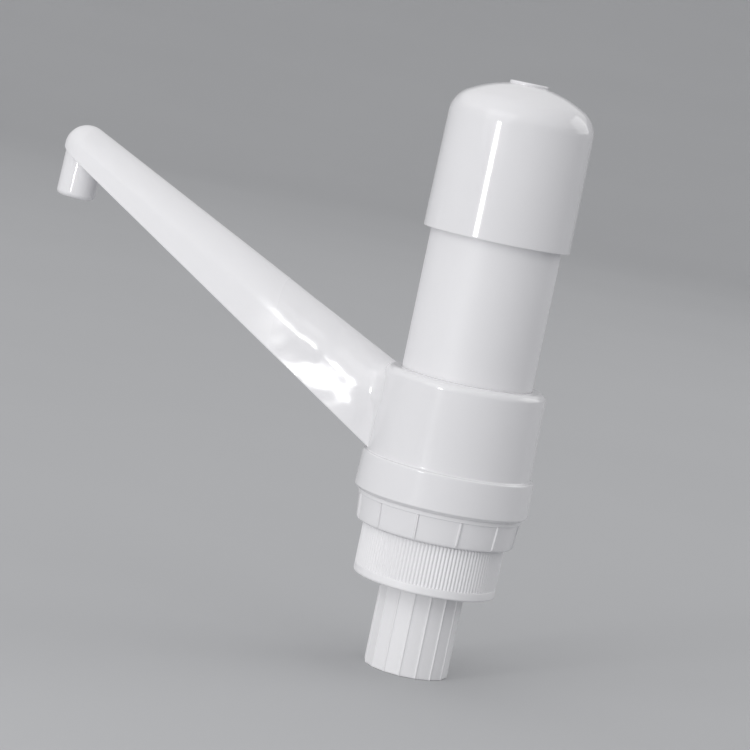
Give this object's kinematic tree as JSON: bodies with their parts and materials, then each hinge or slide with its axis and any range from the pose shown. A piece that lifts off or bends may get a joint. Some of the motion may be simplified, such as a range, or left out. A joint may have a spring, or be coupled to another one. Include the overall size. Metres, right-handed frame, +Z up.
{
  "type": "water jug hand pump",
  "caption": "Hand pump for a water jug: domed push cap over a pump cylinder, sloping spout arm with a downward nozzle, ribbed bottle collar and a fluted tailpiece for the dip tube.",
  "frame": {"origin": "on the pump axis, at the mouth of the bottle collar", "axes": "+Z up along the pump axis, -X towards the spout's nozzle, +Y to the side"},
  "size_m": [0.1991, 0.0638, 0.2161],
  "materials": {
    "gloss_white": "semi-gloss moulded",
    "matt_white": "satin moulded",
    "inner_plastic": "plain moulded",
    "rubber": "soft seal",
    "steel": "stainless"
  },
  "bodies": {
    "pump": {"tailpiece": "matt_white", "neck_gasket": "rubber", "tail_o_ring": "rubber", "base_nut": "gloss_white", "base_gasket": "rubber", "inlet_seat": "inner_plastic", "inlet_cage": "inner_plastic", "return_spring": "steel", "pump_body": "gloss_white", "pump_cylinder": "gloss_white", "cylinder_gasket": "rubber", "guide_bush": "inner_plastic", "spout_arm": "gloss_white", "spout_cover": "gloss_white", "outlet_seat": "inner_plastic", "flap_pin": "steel"},
    "collar": {"bottle_collar": "matt_white"},
    "plunger": {"piston": "inner_plastic", "piston_seal": "rubber", "piston_screw": "steel", "piston_rod": "inner_plastic", "push_cap": "gloss_white", "cap_screw": "steel", "crown_disc": "gloss_white"},
    "ball": {"inlet_ball": "steel"},
    "flap": {"outlet_flap": "rubber"}
  },
  "joints": [
    {"name": "cap_stroke", "type": "slide", "parent": "pump", "child": "plunger", "axis": [0, 0, -1], "range_m": [0, 0.04], "stiffness_N_per_m": 300, "springref_m": -0.02, "deforming": ["return_spring"]},
    {"name": "collar_turn", "type": "hinge", "parent": "pump", "child": "collar", "pos_m": [0, 0, 0], "axis": [0, 0, 1], "continuous": true},
    {"name": "inlet_ball_lift", "type": "slide", "parent": "pump", "child": "ball", "axis": [0, 0, 1], "range_m": [0, 0.0045]},
    {"name": "outlet_flap_swing", "type": "hinge", "parent": "pump", "child": "flap", "pos_m": [-0.03555, 0, 0.0676], "axis": [0, 1, 0], "range_deg": [0, 50]}
  ]
}
